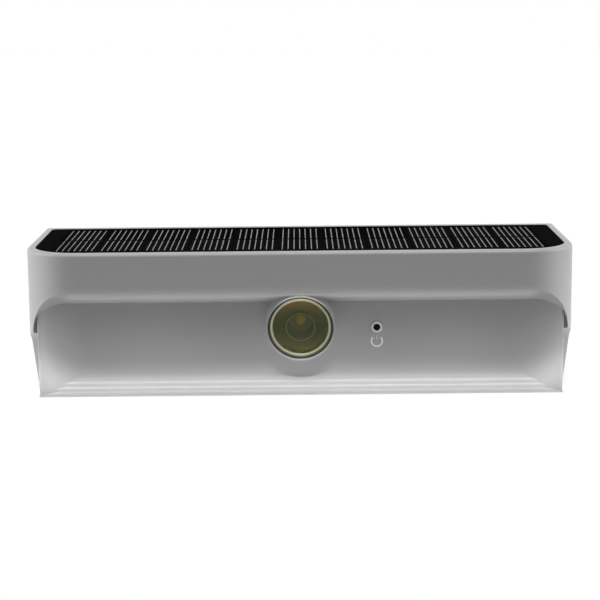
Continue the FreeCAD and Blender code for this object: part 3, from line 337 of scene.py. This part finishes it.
# Silver fingers on the solar cells: seven on each strip, in two rows
cells_low, cells_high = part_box("solar_cells")
FINGERS = 7
STRIPS = 11
FINGER_PITCH = 2.12 * MM
FINGER_WIDTH = 0.34 * MM
CELL_GAP = 0.8 * MM
strip_pitch = (cells_high[0] - cells_low[0] + CELL_GAP) / STRIPS
ROW_GAP = 2.4 * MM
END_GAP = 0.6 * MM
FINGER_SUNK = 0.01 * MM
FINGER_PROUD = 0.015 * MM
middle_y = (cells_low[1] + cells_high[1]) / 2


def build_fingers(bm):
    top = cells_high[2]
    rows = ((cells_low[1] + END_GAP, middle_y - ROW_GAP / 2),
            (middle_y + ROW_GAP / 2, cells_high[1] - END_GAP))
    for strip in range(STRIPS):
        for finger in range(FINGERS):
            x = ((strip - (STRIPS - 1) / 2) * strip_pitch
                 + (finger - (FINGERS - 1) / 2) * FINGER_PITCH)
            for near, far in rows:
                add_box(bm, (x - FINGER_WIDTH / 2, near, top - FINGER_SUNK),
                        (x + FINGER_WIDTH / 2, far, top + FINGER_PROUD))


mesh_piece("cell_fingers", build_fingers, silver)

# The printed power symbol below the button: an open ring and a short bar
button_low, button_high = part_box("button_bezel")
symbol_x = (button_low[0] + button_high[0]) / 2
BEZEL_FLANGE = 0.4 * MM
SYMBOL_DROP = 5.2 * MM
RING_RADIUS = 2.02 * MM
RING_HALF = 0.28 * MM
RING_OPEN_HALF = math.radians(53)
RING_PROUD = 0.04 * MM
BAR_HALF = 0.17 * MM
BAR_LOW = 0.75 * MM
BAR_HIGH = 2.1 * MM
BAR_PROUD = 0.03 * MM
PRINT_SUNK = 0.02 * MM
RING_STEPS = 48
CAP_STEPS = 8
symbol_z = (button_low[2] + button_high[2]) / 2 - SYMBOL_DROP
recess_y = button_low[1] + BEZEL_FLANGE
print_white = speckled("printed_white", srgb(252), srgb(244), srgb(255), 0.5, 2600, 3000,
                       0.006 * MM)
print_thin = speckled("printed_thin", srgb(216), srgb(208), srgb(224), 0.5, 2600, 3000,
                      0.006 * MM)


def half_turn(centre, start, half):
    """Points of a half-round end about a centre, without its two corners."""
    turns = (start + math.pi * i / CAP_STEPS for i in range(1, CAP_STEPS))
    return [centre + Vector((math.cos(turn), 0, math.sin(turn))) * half for turn in turns]


def ring_strip(bm, start, end, back, face):
    """The symbol's band along an arc, from back to face along Y, with half-round ends."""
    angles = [start + (end - start) * i / RING_STEPS for i in range(RING_STEPS + 1)]
    path = [Vector((math.cos(angle), 0, math.sin(angle))) for angle in angles]
    outline = [p * (RING_RADIUS + RING_HALF) for p in path]
    outline += half_turn(path[-1] * RING_RADIUS, end, RING_HALF)
    outline += [p * (RING_RADIUS - RING_HALF) for p in reversed(path)]
    outline += half_turn(path[0] * RING_RADIUS, start + math.pi, RING_HALF)
    extrude(bm, [(symbol_x + p.x, symbol_z + p.z) for p in outline], back, face)


def extrude(bm, points, back, face):
    """A flat plate of the outline (x, z) between two planes across Y."""
    near = [bm.verts.new((x, face, z)) for x, z in points]
    far = [bm.verts.new((x, back, z)) for x, z in points]
    bm.faces.new(near)
    bm.faces.new(list(reversed(far)))
    for i in range(len(points)):
        j = (i + 1) % len(points)
        bm.faces.new((near[i], far[i], far[j], near[j]))


def build_symbol(bm):
    start = math.pi / 2 + RING_OPEN_HALF
    end = math.pi / 2 - RING_OPEN_HALF + 2 * math.pi
    ring_strip(bm, start, end, recess_y + PRINT_SUNK, recess_y - RING_PROUD)


def build_bar(bm):
    points = []
    for first, middle_z in ((0, symbol_z + BAR_HIGH), (math.pi, symbol_z + BAR_LOW)):
        for i in range(CAP_STEPS + 1):
            turn = first + math.pi * i / CAP_STEPS
            points.append((symbol_x + BAR_HALF * math.cos(turn),
                           middle_z + BAR_HALF * math.sin(turn)))
    extrude(bm, points, recess_y + PRINT_SUNK, recess_y - BAR_PROUD)


mesh_piece("power_symbol_ring", build_symbol, print_white)
mesh_piece("power_symbol_bar", build_bar, print_thin)


# The pale line round the lens's eye, on the face of the leaning lens: the eye's edge is real, its
# pale colour is a painted highlight
LENS_LEAN = math.radians(10)
EYE_CENTRE = (0, -59.42 * MM, -2.024 * MM)
EYE_RADIUS = 5.25 * MM
EYE_LINE_HALF = 0.09 * MM
EYE_STEPS = 72
LINE_STEPS = 8


def build_eye_line(bm):
    up = Vector((0, -math.sin(LENS_LEAN), math.cos(LENS_LEAN)))
    out = Vector((0, -math.cos(LENS_LEAN), -math.sin(LENS_LEAN)))
    rings = []
    for i in range(EYE_STEPS):
        turn = 2 * math.pi * i / EYE_STEPS
        way = Vector((1, 0, 0)) * math.cos(turn) + up * math.sin(turn)
        ring = []
        for j in range(LINE_STEPS):
            roll = 2 * math.pi * j / LINE_STEPS
            reach = EYE_RADIUS + EYE_LINE_HALF * math.cos(roll)
            ring.append(bm.verts.new(Vector(EYE_CENTRE) + way * reach
                                     + out * EYE_LINE_HALF * math.sin(roll)))
        rings.append(ring)
    for i in range(EYE_STEPS):
        here, there = rings[i], rings[(i + 1) % EYE_STEPS]
        for j in range(LINE_STEPS):
            k = (j + 1) % LINE_STEPS
            bm.faces.new((here[j], there[j], there[k], here[k]))


# Pale grey-cream colour of the eye's edge: a painted highlight on what is clear lens plastic.
eye = speckled("lens_eye_painted_highlight", srgb((150, 152, 128)), srgb((142, 144, 120)),
               srgb((158, 160, 136)), 0.4, 2000, 3000, 0.004 * MM, 0.3)
mesh_piece("lens_eye_highlight_line", build_eye_line, eye)


# ---------------------------------------------------------------- stage, light and camera
WORLD_LIGHT = 0.02
FLOOR_HALF = 3.0
FLOOR_DROP = 0.2 * MM
FLOOR_SHOWN = 0.30
FLOOR_GLOW = 0.76
STRIP_LIGHT = 1.45
STRIP_FADE = (-94 * MM, -78 * MM)
SHEET_DISTANCE = 150 * MM
# Name, azimuth, elevation, spread, strength
SUNS = (("key_sun", 0, 68, 16, 1.7),
        ("mid_sun", 0, 50, 30, 0.3),
        ("left_sun", -95, 12, 40, 1.9),
        ("right_sun", 95, 12, 40, 1.2),
        ("left_low_sun", -78, 8, 12, 0.35),
        ("right_low_sun", 78, 8, 12, 0.6))
# Name, target, elevation, length, height, spread, power
SHEETS = (("foot_light", (0, -56.6 * MM, -22.2 * MM), 55, 260 * MM, 6 * MM, 4, 0.0056),
          ("lip_light", (0, -66 * MM, 9.4 * MM), -8, 170 * MM, 4 * MM, 3, 0.0016))
CAMERA_LENS = 105.0
CAMERA_SENSOR = 36.0
CAMERA_NEAR = 10 * MM
CAMERA_PLACE = (-0.1 * MM, -685.3 * MM, 122.66 * MM)
CAMERA_DOWN = math.radians(10.38)
CAMERA_ROLL = math.radians(-0.554)


def emission(tree, color, strength):
    made = tree.nodes.new("ShaderNodeEmission")
    made.inputs["Color"].default_value = color
    made.inputs["Strength"].default_value = strength
    return made


def any_of(tree, *sockets):
    """1 where any of the light path's flags is 1."""
    result = sockets[0]
    for socket in sockets[1:]:
        most = tree.nodes.new("ShaderNodeMath")
        most.operation = "MAXIMUM"
        tree.links.new(result, most.inputs[0])
        tree.links.new(socket, most.inputs[1])
        result = most.outputs[0]
    return result


def make_world():
    world = bpy.data.worlds.new("studio")
    bpy.context.scene.world = world
    world.use_nodes = True
    tree = world.node_tree
    tree.nodes.clear()
    output = tree.nodes.new("ShaderNodeOutputWorld")
    path = tree.nodes.new("ShaderNodeLightPath")
    seen = any_of(tree, path.outputs["Is Camera Ray"], path.outputs["Is Glossy Ray"],
                  path.outputs["Is Transmission Ray"])
    shown = tree.nodes.new("ShaderNodeBackground")
    shown.inputs["Color"].default_value = (1, 1, 1, 1)
    light = tree.nodes.new("ShaderNodeBackground")
    light.inputs["Color"].default_value = (1, 1, 1, 1)
    light.inputs["Strength"].default_value = WORLD_LIGHT
    mix = tree.nodes.new("ShaderNodeMixShader")
    tree.links.new(seen, mix.inputs[0])
    tree.links.new(light.outputs[0], mix.inputs[1])
    tree.links.new(shown.outputs[0], mix.inputs[2])
    tree.links.new(mix.outputs[0], output.inputs["Surface"])


def make_floor():
    """White to the eye, with the object's shadow; to other rays a strip that lights the foot."""
    size = FLOOR_HALF
    level = cad_box[0][2] - FLOOR_DROP
    mesh = bpy.data.meshes.new("floor")
    mesh.from_pydata([(-size, -size, level), (size, -size, level), (size, size, level),
                      (-size, size, level)], [], [(0, 1, 2, 3)])
    floor = bpy.data.objects.new("floor", mesh)
    bpy.context.scene.collection.objects.link(floor)
    material = bpy.data.materials.new("floor_white")
    material.use_nodes = True
    tree = material.node_tree
    tree.nodes.clear()
    output = tree.nodes.new("ShaderNodeOutputMaterial")
    path = tree.nodes.new("ShaderNodeLightPath")
    seen = any_of(tree, path.outputs["Is Camera Ray"], path.outputs["Is Glossy Ray"],
                  path.outputs["Is Transmission Ray"])
    shown = tree.nodes.new("ShaderNodeBsdfDiffuse")
    shown.inputs["Color"].default_value = (FLOOR_SHOWN, FLOOR_SHOWN, FLOOR_SHOWN, 1)
    glow = emission(tree, (1, 1, 1, 1), FLOOR_GLOW)
    lit = tree.nodes.new("ShaderNodeAddShader")
    tree.links.new(shown.outputs[0], lit.inputs[0])
    tree.links.new(glow.outputs[0], lit.inputs[1])
    place = tree.nodes.new("ShaderNodeTexCoord")
    parts = tree.nodes.new("ShaderNodeSeparateXYZ")
    tree.links.new(place.outputs["Object"], parts.inputs[0])
    strip = tree.nodes.new("ShaderNodeMapRange")
    strip.interpolation_type = "SMOOTHSTEP"
    for key, number in (("From Min", STRIP_FADE[0]), ("From Max", STRIP_FADE[1]),
                        ("To Min", 0.0), ("To Max", STRIP_LIGHT)):
        strip.inputs[key].default_value = number
    tree.links.new(parts.outputs["Y"], strip.inputs["Value"])
    bounce = emission(tree, (1, 1, 1, 1), 1.0)
    tree.links.new(strip.outputs["Result"], bounce.inputs["Strength"])
    mix = tree.nodes.new("ShaderNodeMixShader")
    tree.links.new(seen, mix.inputs[0])
    tree.links.new(bounce.outputs[0], mix.inputs[1])
    tree.links.new(lit.outputs[0], mix.inputs[2])
    tree.links.new(mix.outputs[0], output.inputs["Surface"])
    mesh.materials.append(material)


def sun(name, azimuth, elevation, spread, strength):
    """Soft light from far away. Azimuth 0 is the front, 90 the right; degrees."""
    light = bpy.data.lights.new(name, "SUN")
    light.angle = math.radians(spread)
    light.energy = strength
    lamp = bpy.data.objects.new(name, light)
    bpy.context.scene.collection.objects.link(lamp)
    turn, rise = math.radians(azimuth), math.radians(elevation)
    source = Vector((math.sin(turn) * math.cos(rise), -math.cos(turn) * math.cos(rise),
                     math.sin(rise)))
    lamp.rotation_euler = (-source).to_track_quat("-Z", "Y").to_euler()


def sheet_light(name, target, elevation, length, height, spread, power):
    """A thin sheet of light on one edge along the front. Angles in degrees."""
    light = bpy.data.lights.new(name, "AREA")
    light.shape = "RECTANGLE"
    light.size = length
    light.size_y = height
    light.spread = math.radians(spread)
    light.energy = power
    lamp = bpy.data.objects.new(name, light)
    bpy.context.scene.collection.objects.link(lamp)
    rise = math.radians(elevation)
    away = Vector((0, -math.cos(rise), math.sin(rise)))
    lamp.location = Vector(target) + away * SHEET_DISTANCE
    lamp.rotation_euler = (-away).to_track_quat("-Z", "Y").to_euler()


def make_camera():
    data = bpy.data.cameras.new("photo_camera")
    data.sensor_width = CAMERA_SENSOR
    data.lens = CAMERA_LENS
    data.clip_start = CAMERA_NEAR
    camera = bpy.data.objects.new("photo_camera", data)
    bpy.context.scene.collection.objects.link(camera)
    camera.matrix_world = (Matrix.Translation(CAMERA_PLACE)
                           @ Matrix.Rotation(math.pi / 2 - CAMERA_DOWN, 4, "X")
                           @ Matrix.Rotation(CAMERA_ROLL, 4, "Z"))
    bpy.context.scene.camera = camera


make_world()
make_floor()
for values in SHEETS:
    sheet_light(*values)
for values in SUNS:
    sun(*values)
make_camera()

bpy.context.scene.view_settings.view_transform = "Standard"
